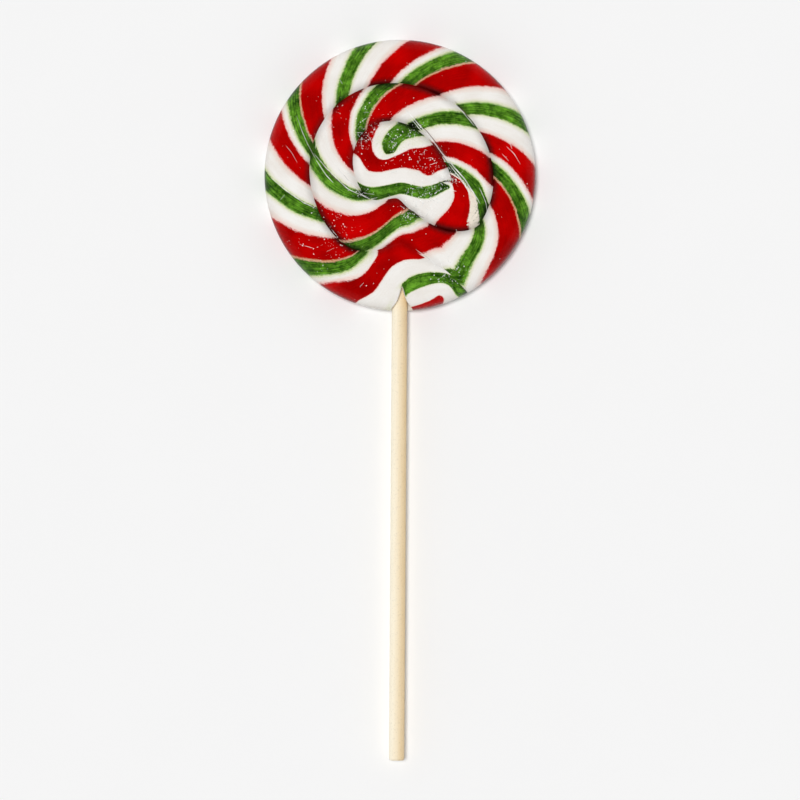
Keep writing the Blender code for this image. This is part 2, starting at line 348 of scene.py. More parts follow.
def wave(angle, crest, length):
    """Gentle unevenness along the rope, 1 at the crest."""
    return ((angle - crest) * (TURN / length)).cos()


def groove_group():
    """Node group: radius of the groove on the rope's inner side, from the angle along the coil."""
    name = "Groove radius"
    if name in bpy.data.node_groups:
        return bpy.data.node_groups[name]
    tree, source, result = new_geometry_tree(
        name,
        [("Angle", "NodeSocketFloat", 0.0), ("Edge", "NodeSocketFloat", COIL_HIGH.x)],
        [("Radius", "NodeSocketFloat")],
    )
    angle = Flow(tree, source.outputs["Angle"])
    edge = Flow(tree, source.outputs["Edge"])
    sweep = ((TAIL_ANGLE - angle).least(0.0) / TAIL_SWEEP).exp()
    first = sweep * (edge - FIRST_TURN_RADIUS) + FIRST_TURN_RADIUS
    first = first - bell(angle, FIRST_SAG_ANGLE, FIRST_SAG_SPREAD) * FIRST_SAG
    first = first + wave(angle, FIRST_WAVE_ANGLE, FIRST_WAVE_LENGTH) * FIRST_WAVE
    second = SECOND_TURN_RADIUS - bell(angle, SECOND_SAG_ANGLE, SECOND_SAG_SPREAD) * SECOND_SAG
    second = second + wave(angle, SECOND_WAVE_ANGLE, SECOND_WAVE_LENGTH) * SECOND_WAVE
    stepped = blend(first, second, angle.smooth(STEP_START, STEP_END))
    closing = (CURL_END - angle) / (CURL_END - CURL_START)
    radius = stepped * closing.most(0.0).least(1.0) ** CURL_SHAPE
    past_tail = angle.over(TAIL_ANGLE + TURN / COLUMNS_PER_TURN / 2)
    feed(tree, blend(edge, radius, past_tail), result.inputs["Radius"])
    return tree


def groove_radius(tree, angle, edge):
    """The groove's radius at an angle, as a flow of the tree."""
    node = tree.nodes.new("GeometryNodeGroup")
    node.node_tree = groove_group()
    feed(tree, angle, node.inputs["Angle"])
    feed(tree, edge, node.inputs["Edge"])
    return Flow(tree, node.outputs["Radius"])


def coil_place(tree, angle, radius, height):
    """Position on the coil, whose middle drifts to the curl as the radius shrinks."""
    drift = 1.0 - radius.smooth(0.0, CURL_REACH)
    across = drift * CURL_OFFSET[0] + radius * angle.cos()
    along = drift * CURL_OFFSET[1] - radius * angle.sin()
    return add_node(tree, "ShaderNodeCombineXYZ", X=across, Y=along, Z=height).outputs[0]


def groove_strength(angle):
    """1 where the groove is fully pressed in, less along the tail, and 0 at both of its ends."""
    rising = angle.smooth(TAIL_ANGLE, TAIL_ANGLE + GROOVE_START_LENGTH)
    pressed = angle.smooth(TAIL_GROOVE_END, FULL_GROOVE_START)
    fading = 1.0 - angle.smooth(*GROOVE_FADE)
    return rising * fading * (pressed * (1.0 - TAIL_GROOVE_SHARE) + TAIL_GROOVE_SHARE)


def rim_drop(radius, edge, thickness):
    """How far the rounded rim has fallen below the flat of a face at this radius."""
    out = ((radius - edge + RIM_ROUND) / RIM_ROUND).most(0.0).least(1.0)
    return (1.0 - (1.0 - out**RIM_FULLNESS).most(0.0) ** (1.0 / RIM_FULLNESS)) * thickness * 0.5


def shoulder(distance, width):
    """Share of the groove's depth left at a distance from its bottom: rounded shoulders that meet in a soft crease."""
    return (1.0 - distance / width).most(0.0) ** SHOULDER_FULLNESS


def stripe_mesh():
    """Mesh of the drawn stripes' middle lines; an attribute numbers them."""
    points, edges, numbers = [], [], []
    for number, (_, line) in enumerate(DRAWN_STRIPES):
        start = len(points)
        points += [(x * MM, y * MM, 0.0) for x, y in line]
        edges += [(index, index + 1) for index in range(start, len(points) - 1)]
        numbers += [number] * len(line)
    mesh = bpy.data.meshes.new("stripe_lines")
    mesh.from_pydata(points, edges, [])
    mesh.attributes.new("stripe", "INT", "POINT").data.foreach_set("value", numbers)
    return mesh


def column_total():
    """Columns of the coil's grid, from the rope's outer tip to its inner tip."""
    return round((CURL_END + TURN - TAIL_ANGLE) / TURN * COLUMNS_PER_TURN)


def line_along_coil(tree, count):
    """A mesh line and the angle of each of its points."""
    line = add_node(tree, "GeometryNodeMeshLine", Count=count, Offset=(MM, 0.0, 0.0))
    index = Flow(tree, add_node(tree, "GeometryNodeInputIndex").outputs[0])
    return line.outputs["Mesh"], index * (TURN / COLUMNS_PER_TURN) + TAIL_ANGLE


def groove_line(tree, edge):
    """The groove's course as a flat mesh line."""
    mesh, angle = line_along_coil(tree, column_total() - COLUMNS_PER_TURN + 1)
    place = coil_place(tree, angle, groove_radius(tree, angle, edge), 0.0)
    return add_node(tree, "GeometryNodeSetPosition", Geometry=mesh, Position=place).outputs[0]


def rope_length(tree, edge, column):
    """Length of rope from its outer tip to a column, measured along its middle."""
    mesh, angle = line_along_coil(tree, column_total() + 1)
    middle = (groove_radius(tree, angle, edge) + groove_radius(tree, angle - TURN, edge)) * 0.5
    place = coil_place(tree, angle, middle, 0.0)
    moved = add_node(tree, "GeometryNodeSetPosition", Geometry=mesh, Position=place)
    curve = add_node(tree, "GeometryNodeMeshToCurve", Mesh=moved.outputs[0])
    length = add_node(tree, "GeometryNodeSplineParameter").outputs["Length"]
    sample = add_node(tree, "GeometryNodeSampleIndex", {"data_type": "FLOAT", "domain": "POINT"})
    feed(tree, curve.outputs[0], sample.inputs["Geometry"])
    feed(tree, length, sample.inputs["Value"])
    feed(tree, column, sample.inputs["Index"])
    return Flow(tree, sample.outputs[0])


def stripe_lines(tree, lines):
    """The stripes' middle lines, smoothed, as mesh edges."""
    curve = add_node(tree, "GeometryNodeMeshToCurve", Mesh=lines)
    eased = add_node(tree, "GeometryNodeCurveSplineType", {"spline_type": "CATMULL_ROM"}, Curve=curve.outputs[0])
    return add_node(tree, "GeometryNodeCurveToMesh", Curve=eased.outputs[0]).outputs[0]


def drawn_twist(tree, lines, place, stripes):
    """The twist at a place among drawn stripes: that of each line, weighed by how near it is."""
    total, weights = None, None
    for twist, line in stripes:
        number = DRAWN_STRIPES.index((twist, line))
        mark = add_node(tree, "GeometryNodeInputNamedAttribute", {"data_type": "INT"}, Name="stripe")
        nearest = add_node(tree, "GeometryNodeProximity", {"target_element": "EDGES"})
        feed(tree, lines, nearest.inputs[0])
        feed(tree, mark.outputs[0], nearest.inputs["Group ID"])
        feed(tree, place, nearest.inputs["Sample Position"])
        feed(tree, number, nearest.inputs["Sample Group ID"])
        near = (Flow(tree, nearest.outputs["Distance"]) / MM + 0.02) ** -STRIPE_PULL
        total = near * twist if total is None else total + near * twist
        weights = near if weights is None else weights + near
    return total / weights


def coil_sheet(tree, source, rows, groove, lines, upward):
    """One face of the coil as a spiral grid, with its relief and the rope's map."""
    edge = Flow(tree, source.outputs["Radius"])
    thickness = Flow(tree, source.outputs["Thickness"])
    grid = add_node(tree, "GeometryNodeMeshGrid", Vertices_X=column_total() + 1, Vertices_Y=rows + 1)
    index = Flow(tree, add_node(tree, "GeometryNodeInputIndex").outputs[0])
    column = ((index + 0.5) / (rows + 1.0)).floor()
    row = index - column * (rows + 1.0)
    angle = column * (TURN / COLUMNS_PER_TURN) + TAIL_ANGLE
    both_ends = 0.5 - (row * (math.pi / rows)).cos() * 0.5
    outer_end = (row * (math.pi / 2 / rows)).sin()
    share = blend(both_ends, outer_end, angle.smooth(*POLE_SPACING))
    inner = groove_radius(tree, angle, edge)
    outer = groove_radius(tree, angle - TURN, edge)
    radius = blend(inner, outer, share)
    place = coil_place(tree, angle, radius, 0.0)
    flat = add_node(tree, "GeometryNodeSetPosition", Geometry=grid.outputs["Mesh"], Position=place)

    nearest = add_node(tree, "GeometryNodeProximity", {"target_element": "EDGES"})
    feed(tree, groove, nearest.inputs[0])
    feed(tree, place, nearest.inputs["Sample Position"])
    distance = Flow(tree, nearest.outputs["Distance"])
    strength = blend(groove_strength(angle), groove_strength(angle - TURN), share)
    fall = rim_drop(radius, edge, thickness)
    if upward:
        dip = strength * shoulder(distance, Flow(tree, source.outputs["Groove shoulder"]))
        rise = thickness * 0.5 - fall - dip * Flow(tree, source.outputs["Groove depth"])
        height = thickness * 0.5 + rise * (1.0 - FILM_ROOM / (COIL_HIGH.z / 2))
    else:
        height = fall + strength * shoulder(distance, UNDERSIDE_SHOULDER) * UNDERSIDE_DEPTH
    lift = add_node(tree, "ShaderNodeCombineXYZ", Z=height)
    raised = add_node(tree, "GeometryNodeSetPosition", Geometry=flat.outputs[0], Offset=lift.outputs[0])

    length = rope_length(tree, edge, column)
    late = sum((bell(length, place_along, spread) * size for size, place_along, spread in LATE_TWISTS), 0.0)
    lean = bell(length, EXTRA_LEAN_PLACE, EXTRA_LEAN_SPREAD) * EXTRA_LEAN + Flow(tree, source.outputs["Stripe lean"])
    twist = (length - TWIST_START - late - (share - 0.5) * lean) / Flow(tree, source.outputs["Twist length"])
    curl = drawn_twist(tree, lines, place, CURL_STRIPES)
    join = drawn_twist(tree, lines, place, CURL_STRIPES + JOIN_STRIPES)
    twist = blend(twist, blend(join, curl, angle.over(CURL_ALONE)), angle.smooth(*CURL_FOLD))
    tail = drawn_twist(tree, lines, place, TAIL_STRIPES)
    twist = blend(tail, twist, angle.smooth(*TAIL_FOLD))
    sheet = store_map(tree, raised.outputs[0], ROPE_MAP, twist, share)
    sheet = store_map(tree, sheet, SEAM_MAP, distance / MM, strength)
    if upward:
        return sheet
    return add_node(tree, "GeometryNodeFlipFaces", Mesh=sheet).outputs[0]


def store_map(tree, geometry, name, across, along):
    """Stores two numbers of each point as a map on the faces' corners."""
    pair = add_node(tree, "ShaderNodeCombineXYZ", X=across, Y=along)
    at_points = add_node(tree, "GeometryNodeFieldOnDomain", {"data_type": "FLOAT_VECTOR", "domain": "POINT"})
    feed(tree, pair.outputs[0], at_points.inputs["Value"])
    stored = add_node(
        tree, "GeometryNodeStoreNamedAttribute", {"data_type": "FLOAT2", "domain": "CORNER"}, Name=name
    )
    feed(tree, geometry, stored.inputs["Geometry"])
    feed(tree, at_points.outputs["Value"], stored.inputs["Value"])
    return stored.outputs[0]


def coil_tree():
    """Geometry tree of the whole coil."""
    tree, source, result = new_geometry_tree(
        "Candy coil",
        [
            ("Geometry", "NodeSocketGeometry", None),
            ("Radius", "NodeSocketFloat", 0.035),
            ("Thickness", "NodeSocketFloat", 0.0095),
            ("Groove depth", "NodeSocketFloat", 0.001),
            ("Groove shoulder", "NodeSocketFloat", 0.0026),
            ("Twist length", "NodeSocketFloat", 0.0417),
            ("Stripe lean", "NodeSocketFloat", 0.0127),
            ("Material", "NodeSocketMaterial", None),
        ],
        [("Geometry", "NodeSocketGeometry")],
    )
    groove = groove_line(tree, Flow(tree, source.outputs["Radius"]))
    lines = stripe_lines(tree, source.outputs["Geometry"])
    joined = tree.nodes.new("GeometryNodeJoinGeometry")
    for rows, upward in ((UNDERSIDE_ROWS, False), (TOP_ROWS, True)):
        tree.links.new(coil_sheet(tree, source, rows, groove, lines, upward), joined.inputs[0])
    merged = add_node(tree, "GeometryNodeMergeByDistance", Geometry=joined.outputs[0], Distance=MERGE_DISTANCE)
    smooth = add_node(tree, "GeometryNodeSetShadeSmooth", Geometry=merged.outputs[0])
    finish_tree(tree, smooth.outputs[0], source, result)
    return tree


def finish_tree(tree, geometry, source, result):
    """Ends a tree in Realize Instances and Set Material."""
    real = add_node(tree, "GeometryNodeRealizeInstances", Geometry=geometry)
    painted = add_node(tree, "GeometryNodeSetMaterial", Geometry=real.outputs[0])
    feed(tree, source.outputs["Material"], painted.inputs["Material"])
    tree.links.new(painted.outputs[0], result.inputs["Geometry"])


def grow(name, tree, values, start=None):
    """Runs a geometry tree on a new object and returns the plain mesh that it makes."""
    seed = bpy.data.objects.new(name + "_seed", start or bpy.data.meshes.new(name + "_seed"))
    bpy.context.scene.collection.objects.link(seed)
    modifier = seed.modifiers.new("grow", "NODES")
    modifier.node_group = tree
    for item in tree.interface.items_tree:
        if item.item_type == "SOCKET" and item.in_out == "INPUT" and item.name in values:
            modifier[item.identifier] = values[item.name]
    piece = settle(seed, name)
    return piece


def settle(source, name):
    """Turns an object's evaluated mesh into a plain object of that name and removes the source."""
    bpy.context.view_layer.update()
    evaluated = source.evaluated_get(bpy.context.evaluated_depsgraph_get())
    mesh = bpy.data.meshes.new_from_object(evaluated)
    mesh.name = name
    source.modifiers.clear()
    bpy.data.objects.remove(source, do_unlink=True)
    piece = bpy.data.objects.new(name, mesh)
    bpy.context.scene.collection.objects.link(piece)
    return piece


def seat(piece, slot, *nodes):
    """Fixes a finished piece to the lollipop."""
    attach(piece, "root")
    if nodes:
        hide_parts(*nodes)


def skin(piece, material, smooth=True):
    """Gives a whole piece one material and its shading."""
    piece.data.materials.clear()
    piece.data.materials.append(material)
    for face in piece.data.polygons:
        face.use_smooth = smooth


def object_from(name, mesh):
    """A linked object from a finished bmesh."""
    data = bpy.data.meshes.new(name)
    bmesh.ops.recalc_face_normals(mesh, faces=mesh.faces)
    mesh.to_mesh(data)
    mesh.free()
    thing = bpy.data.objects.new(name, data)
    bpy.context.scene.collection.objects.link(thing)
    return thing


def cut(piece, cutter, material):
    """Cuts a closed shape out of a piece; the cut's walls take the cutter's material."""
    skin(cutter, material)
    modifier = piece.modifiers.new("cut", "BOOLEAN")
    modifier.operation = "DIFFERENCE"
    modifier.solver = "EXACT"
    modifier.material_mode = "TRANSFER"
    modifier.object = cutter
    name = piece.name
    piece.name = name + "_uncut"
    done = settle(piece, name)
    bpy.data.objects.remove(cutter, do_unlink=True)
    return done


def stick_x(y):
    """The stick's axis leans a little, so its X depends on Y."""
    return STICK_RIM_X + (y + COIL_HIGH.x) * math.tan(STICK_LEAN)


def split_cutter():
    """The opening in the rim above the stick: a narrow wedge whose lips round over and flare at the rim."""
    mesh = bmesh.new()
    reach = SPLIT_LENGTH + SPLIT_OVERRUN
    levels = [(SPLIT_FLOOR, 0.0), (SPLIT_LIP_START, 0.0)]
    lip_top = COIL_HIGH.z + MM
    for step in range(1, 9):
        share = step / 8
        widening = SPLIT_LIP_ROUND * (1 - math.sqrt(1 - share * share))
        levels.append((SPLIT_LIP_START + (lip_top - SPLIT_LIP_START) * share, widening))
    rings = []
    for height, widening in levels:
        left, right = [], []
        for step in range(1, SPLIT_POINTS + 1):
            out = reach * (step / SPLIT_POINTS) ** 1.3
            flare = SPLIT_FLARE * min(out / SPLIT_LENGTH, 1.0) ** SPLIT_FLARE_POWER
            half = SPLIT_SLOPE * out + flare + widening
            left.append(mesh.verts.new((SPLIT_APEX[0] - half, SPLIT_APEX[1] - out, height)))
            right.append(mesh.verts.new((SPLIT_APEX[0] + half, SPLIT_APEX[1] - out, height)))
        apex = mesh.verts.new((SPLIT_APEX[0], SPLIT_APEX[1] + widening, height))
        rings.append(list(reversed(left)) + [apex] + right)
    for below, above in zip(rings, rings[1:]):
        count = len(below)
        for index in range(count):
            after = (index + 1) % count
            mesh.faces.new((below[index], below[after], above[after], above[index]))
    mesh.faces.new(list(reversed(rings[0])))
    mesh.faces.new(rings[-1])
    return object_from("split_cutter", mesh)


def rod(name, radius, start, end, sides, axis_height, reach=None):
    """A closed rod along the stick's axis from one Y to another; reach(y, turn) adds to its radius."""
    mesh = bmesh.new()
    rings = []
    count = STICK_RINGS if reach else 1
    for step in range(count + 1):
        y = start + (end - start) * step / count
        ring = []
        for side in range(sides):
            turn = TURN * side / sides
            size = radius + (reach(y, turn) if reach else 0.0)
            place = (stick_x(y) + size * math.cos(turn), y, axis_height + size * math.sin(turn))
            ring.append(mesh.verts.new(place))
        rings.append(ring)
    for near, far in zip(rings, rings[1:]):
        for side in range(sides):
            after = (side + 1) % sides
            mesh.faces.new((near[side], near[after], far[after], far[side]))
    mesh.faces.new(rings[0])
    mesh.faces.new(rings[-1])
    return object_from(name, mesh)


def new_material(name, slot_colour):
    """A material with one Principled shader, and its tree and shader."""
    material = bpy.data.materials.new(name)
    material.use_nodes = True
    material.diffuse_color = (*slot_colour, 1.0)
    tree = material.node_tree
    return material, tree, tree.nodes["Principled BSDF"]


def linear(red, green, blue):
    """Linear colour from the usual 0-255 screen values."""
    values = (red / 255, green / 255, blue / 255)
    return tuple(v / 12.92 if v <= 0.04045 else ((v + 0.055) / 1.055) ** 2.4 for v in values)


def colour_mix(tree, first, second, share, blend_type="MIX"):
    """Mixes two colours by a flow or number."""
    node = tree.nodes.new("ShaderNodeMix")
    node.data_type = "RGBA"
    node.blend_type = blend_type
    feed(tree, share, node.inputs[0])
    for value, entry in ((first, node.inputs[6]), (second, node.inputs[7])):
        feed(tree, (*value, 1.0) if isinstance(value, tuple) and len(value) == 3 else value, entry)
    return node.outputs[2]


def colour_ramp(tree, share, stops, interpolation="LINEAR"):
    """A colour ramp from (place, colour) stops."""
    node = tree.nodes.new("ShaderNodeValToRGB")
    ramp = node.color_ramp
    ramp.interpolation = interpolation
    while len(ramp.elements) < len(stops):
        ramp.elements.new(1.0)
    for element, (place, colour) in zip(ramp.elements, stops):
        element.position = place
        element.color = (*colour, 1.0)
    feed(tree, share, node.inputs[0])
    return node.outputs[0]


def speckle(tree, vector, scale, detail=2.0, roughness=0.5, distortion=0.0):
    """Noise from 0 to 1 as a flow."""
    node = add_node(
        tree, "ShaderNodeTexNoise", {"noise_dimensions": "3D"},
        Vector=vector, Scale=scale, Detail=detail, Roughness=roughness, Distortion=distortion,
    )
    return Flow(tree, node.outputs[0])


def scaled(tree, colour, amount):
    """A colour times a number."""
    node = tree.nodes.new("ShaderNodeVectorMath")
    node.operation = "SCALE"
    feed(tree, (*colour,) if isinstance(colour, tuple) else colour, node.inputs[0])
    feed(tree, amount, node.inputs["Scale"])
    return node.outputs[0]


def map_pair(tree, name):
    """Both numbers of one of the coil's maps."""
    uv = add_node(tree, "ShaderNodeUVMap", {"uv_map": name}).outputs[0]
    pair = add_node(tree, "ShaderNodeSeparateXYZ", Vector=uv)
    return Flow(tree, pair.outputs[0]), Flow(tree, pair.outputs[1])


def candy_material(colours):
    """Striped pulled sugar: the colour follows the rope's twist, with bleeding edges, and painted shade that darkens
    the seams, the pressed spots and the rim.
    """
    red = tuple(colours.red)
    green = tuple(colours.green)
    white = tuple(colours.white)
    material, tree, shader = new_material("striped_candy", red)
    twist, share = map_pair(tree, ROPE_MAP)
    distance, strength = map_pair(tree, SEAM_MAP)
    place = tree.nodes.new("ShaderNodeTexCoord").outputs["Object"]

    sway = speckle(tree, place, 170.0, 2.0) - 0.5
    ripple = speckle(tree, place, 900.0, 3.0) - 0.5
    strand = add_node(tree, "ShaderNodeCombineXYZ", X=twist * 110.0, Y=share * 3.0, Z=0.0).outputs[0]
    hair = speckle(tree, strand, 1.0, 3.0, 0.65)
    fringe = add_node(tree, "ShaderNodeCombineXYZ", X=twist * 14.0, Y=share * 48.0, Z=0.0).outputs[0]
    fringe = speckle(tree, fringe, 1.0, 3.0, 0.7) - 0.5
    fluff = speckle(tree, place, 3500.0, 2.0) - 0.5
    frost = speckle(tree, place, 7000.0, 2.0, 0.7) - 0.5
    bent = twist + sway * 0.022 + ripple * 0.014 + (hair - 0.5) * 0.014 + fluff * 0.024 + frost * 0.026
    bent = bent + fringe * 0.026
    turn = bent.apply("FRACT")

    pink = linear(250, 190, 186)
    blush = tuple(w * t for w, t in zip(white, linear(248, 226, 218)))
    lime = linear(190, 216, 120)
    mint = tuple(w * t for w, t in zip(white, linear(234, 238, 214)))
    tan = linear(186, 122, 70)
    sand = linear(226, 178, 136)
    stops = [
        (0.000, red), (0.192, red), (0.199, pink), (0.210, blush), (0.250, white),
        (0.300, white), (0.325, mint), (0.334, lime), (0.341, green), (0.449, green), (0.456, lime),
        (0.465, mint), (0.492, white), (0.570, white), (0.607, blush), (0.618, pink), (0.626, red),
        (0.794, red), (0.801, pink), (0.811, blush), (0.832, white), (0.852, mint), (0.862, lime),
        (0.870, green), (0.973, green), (0.979, tan), (0.985, sand), (0.991, tan), (0.996, red),
    ]
    base = colour_ramp(tree, turn, stops)

    kinds = [
        (0.000, (1, 0, 0)), (0.195, (0, 0, 1)), (0.340, (0, 1, 0)), (0.450, (0, 0, 1)), (0.622, (1, 0, 0)),
        (0.798, (0, 0, 1)), (0.870, (0, 1, 0)), (0.975, (0, 0, 1)), (0.994, (1, 0, 0)),
    ]
    kind = add_node(tree, "ShaderNodeSeparateColor", Color=colour_ramp(tree, turn, kinds, "CONSTANT"))
    is_red = Flow(tree, kind.outputs[0])
    is_green = Flow(tree, kind.outputs[1])
    is_white = Flow(tree, kind.outputs[2])

    last_gap = turn.over(0.974) * (1.0 - turn.over(0.995)) * twist.over(LAST_GAP_TWIST)
    base = colour_mix(tree, base, linear(241, 231, 215), last_gap)
    mottle = speckle(tree, place, 520.0, 5.0, 0.75).smooth(0.34, 0.66)
    threads = hair.smooth(0.36, 0.64)
    cloud = speckle(tree, place, 120.0, 3.0)
    leaf = mottle * 0.36 + threads * 0.36 + frost.smooth(-0.16, 0.16) * 0.30 + (cloud - 0.5) * 0.9
    leafy = colour_mix(tree, linear(0, 32, 0), linear(118, 180, 52), leaf * leaf * 1.1 + leaf * 0.08)
    base = colour_mix(tree, base, leafy, is_green * 0.95)

    wine = scaled(tree, base, cloud * 1.3 + threads * 0.12 + 0.12)
    base = colour_mix(tree, base, wine, is_red)
    milk = colour_mix(tree, base, linear(216, 204, 192), threads * 0.12 + frost * 0.9 + cloud * 0.9 - 0.3)
    base = colour_mix(tree, base, milk, is_white)

    # Painted shade in the groove between turns: the colour darkens towards the groove's bottom, in soft patches, much
    # less on white
    ragged = distance + fluff * 0.5 + ripple * 0.6
    shade_patches = speckle(tree, place, 85.0, 2.0).smooth(0.38, 0.62) * 0.45 + 0.55
    pressed = strength * shade_patches * (1.0 - ragged.smooth(0.05, SEAM_SHADE_WIDTH))
    base = scaled(tree, base, 1.0 - pressed * (0.90 - is_white * 0.64))
    # Painted shade: the pressed spots darken the candy, much less on white
    base = scaled(tree, base, 1.0 - painted_shade_spots(tree, place) * (0.85 - is_white * 0.70))
    # Painted shade along the rim, where the surface turns down: darker within 0.8 mm of the edge, much less on white
    away = add_node(tree, "ShaderNodeVectorMath", {"operation": "MULTIPLY"}).outputs[0]
    feed(tree, place, away.node.inputs[0])
    away.node.inputs[1].default_value = (1.0, 1.0, 0.0)
    length = add_node(tree, "ShaderNodeVectorMath", {"operation": "LENGTH"})
    tree.links.new(away, length.inputs[0])
    rim = Flow(tree, length.outputs["Value"]).smooth(COIL_HIGH.x - 0.8 * MM, COIL_HIGH.x - 0.1 * MM)
    base = scaled(tree, base, 1.0 - rim * (0.35 - is_white * 0.30))
    tree.links.new(base, shader.inputs["Base Color"])

    rough = ripple * 0.10 + 0.28
    feed(tree, rough, shader.inputs["Roughness"])
    shader.inputs["IOR"].default_value = 1.4
    shader.inputs["Specular IOR Level"].default_value = 0.14
    bumps = (hair - 0.5) * 0.25 + ripple * 0.6 + fluff * 0.15
    bump = add_node(tree, "ShaderNodeBump", Height=bumps, Distance=0.05 * MM, Strength=0.5)
    tree.links.new(bump.outputs[0], shader.inputs["Normal"])
    return material


def painted_shade_spots(tree, place):
    """Soft spots of painted shade on the candy, ragged at their edges."""
    ragged = speckle(tree, place, 900.0, 3.0)
    flat = add_node(tree, "ShaderNodeSeparateXYZ", Vector=place)
    x, y = Flow(tree, flat.outputs["X"]), Flow(tree, flat.outputs["Y"])
    total = 0.0
    for middle_x, middle_y, radius in PRESSED_SHADE_SPOTS:
        across = (x - middle_x * MM) ** 2 + (y - middle_y * MM) ** 2
        total = (across / (-(radius * MM) ** 2)).exp() + total
    return (total * (ragged * 1.8)).least(1.0)


def sugar_material(colours):
    """Plain white sugar of the split's walls."""
    material, tree, shader = new_material("white_sugar", tuple(colours.white))
    place = tree.nodes.new("ShaderNodeTexCoord").outputs["Object"]
    patch = speckle(tree, place, 500.0, 3.0)
    white = tuple(colours.white)
    warm = tuple(w * t for w, t in zip(white, (0.93, 0.86, 0.76)))
    tree.links.new(colour_mix(tree, white, warm, patch), shader.inputs["Base Color"])
    shader.inputs["Roughness"].default_value = 0.5
    return material


def birch_material(colours):
    """Birch with fine long grain and pores, and painted shade that makes it darker and warmer towards the +X side,
    away from the key light.
    """
    material, tree, shader = new_material("birch_wood", tuple(colours.wood))
    place = tree.nodes.new("ShaderNodeTexCoord").outputs["Object"]
    along = add_node(tree, "ShaderNodeMapping", Vector=place)
    along.inputs["Scale"].default_value = (1.0, 0.04, 1.0)
    grain = speckle(tree, along.outputs[0], 2600.0, 3.0, 0.6)
    pores = speckle(tree, place, 1900.0, 3.0, 0.7).smooth(0.52, 0.68)
    # Painted shade: the wood turns darker and warmer across the stick towards +X, the side away from the key light
    spot = add_node(tree, "ShaderNodeSeparateXYZ", Vector=place)
    x, y = Flow(tree, spot.outputs["X"]), Flow(tree, spot.outputs["Y"])
    axis_x = (y + COIL_HIGH.x) * math.tan(STICK_LEAN) + STICK_RIM_X
    side = ((x - axis_x) / (STICK_HIGH.z - COIL_HIGH.z / 2)).smooth(-0.9, 1.0)
    wood = tuple(colours.wood)
    warm = tuple(w * t for w, t in zip(wood, (0.82, 0.66, 0.44)))
    tone = colour_mix(tree, wood, warm, side * 0.85 + (grain - 0.4) * 0.35)
    tone = scaled(tree, tone, 1.0 - pores * 0.10)
    tree.links.new(tone, shader.inputs["Base Color"])
    shader.inputs["Roughness"].default_value = 0.6
    shader.inputs["Specular IOR Level"].default_value = 0.2
    return material


def film_material(name, clarity):
    """Clear film where it folds: its colour paints a highlight where it would catch the light and grey shade where it
    bends away.
    """
    material, tree, shader = new_material(name, (0.95, 0.95, 0.95))
    place = tree.nodes.new("ShaderNodeTexCoord").outputs["Object"]
    patch = speckle(tree, place, 420.0, 3.0, 0.6).smooth(0.35, 0.65)
    # Painted highlight and shade: tone 1 paints the film's glint white, tone 0 a brownish-grey line of shade
    tone = add_node(tree, "ShaderNodeAttribute", {"attribute_name": "tone"}).outputs["Fac"]
    shine = colour_mix(tree, linear(110, 84, 76), linear(255, 255, 252), tone)
    shine = scaled(tree, shine, patch * 0.1 + 0.92)
    tree.links.new(shine, shader.inputs["Base Color"])
    feed(tree, patch * (1.0 - clarity) + clarity, shader.inputs["Alpha"])
    shader.inputs["Roughness"].default_value = 0.3
    shader.inputs["IOR"].default_value = 1.45
    return material


def crease_mesh():
    """Courses of the film's creases as polylines; an attribute holds their half widths."""
    points, edges, widths, tones = [], [], [], []
    for width, tone, line in FILM_CREASES:
        start = len(points)
        points += [(x * MM, y * MM, 2 * COIL_HIGH.z) for x, y in line]
        edges += [(index, index + 1) for index in range(start, len(points) - 1)]
        widths += [width * MM] * len(line)
        tones += [tone] * len(line)
    mesh = bpy.data.meshes.new("crease_lines")
    mesh.from_pydata(points, edges, [])
    mesh.attributes.new("half_width", "FLOAT", "POINT").data.foreach_set("value", widths)
    mesh.attributes.new("tone", "FLOAT", "POINT").data.foreach_set("value", tones)
    return mesh


def candy_surface(tree, source):
    """The finished candy's mesh inside a tree."""
    info = add_node(tree, "GeometryNodeObjectInfo", {"transform_space": "RELATIVE"})
    feed(tree, source.outputs["Candy"], info.inputs["Object"])
    return info.outputs["Geometry"]


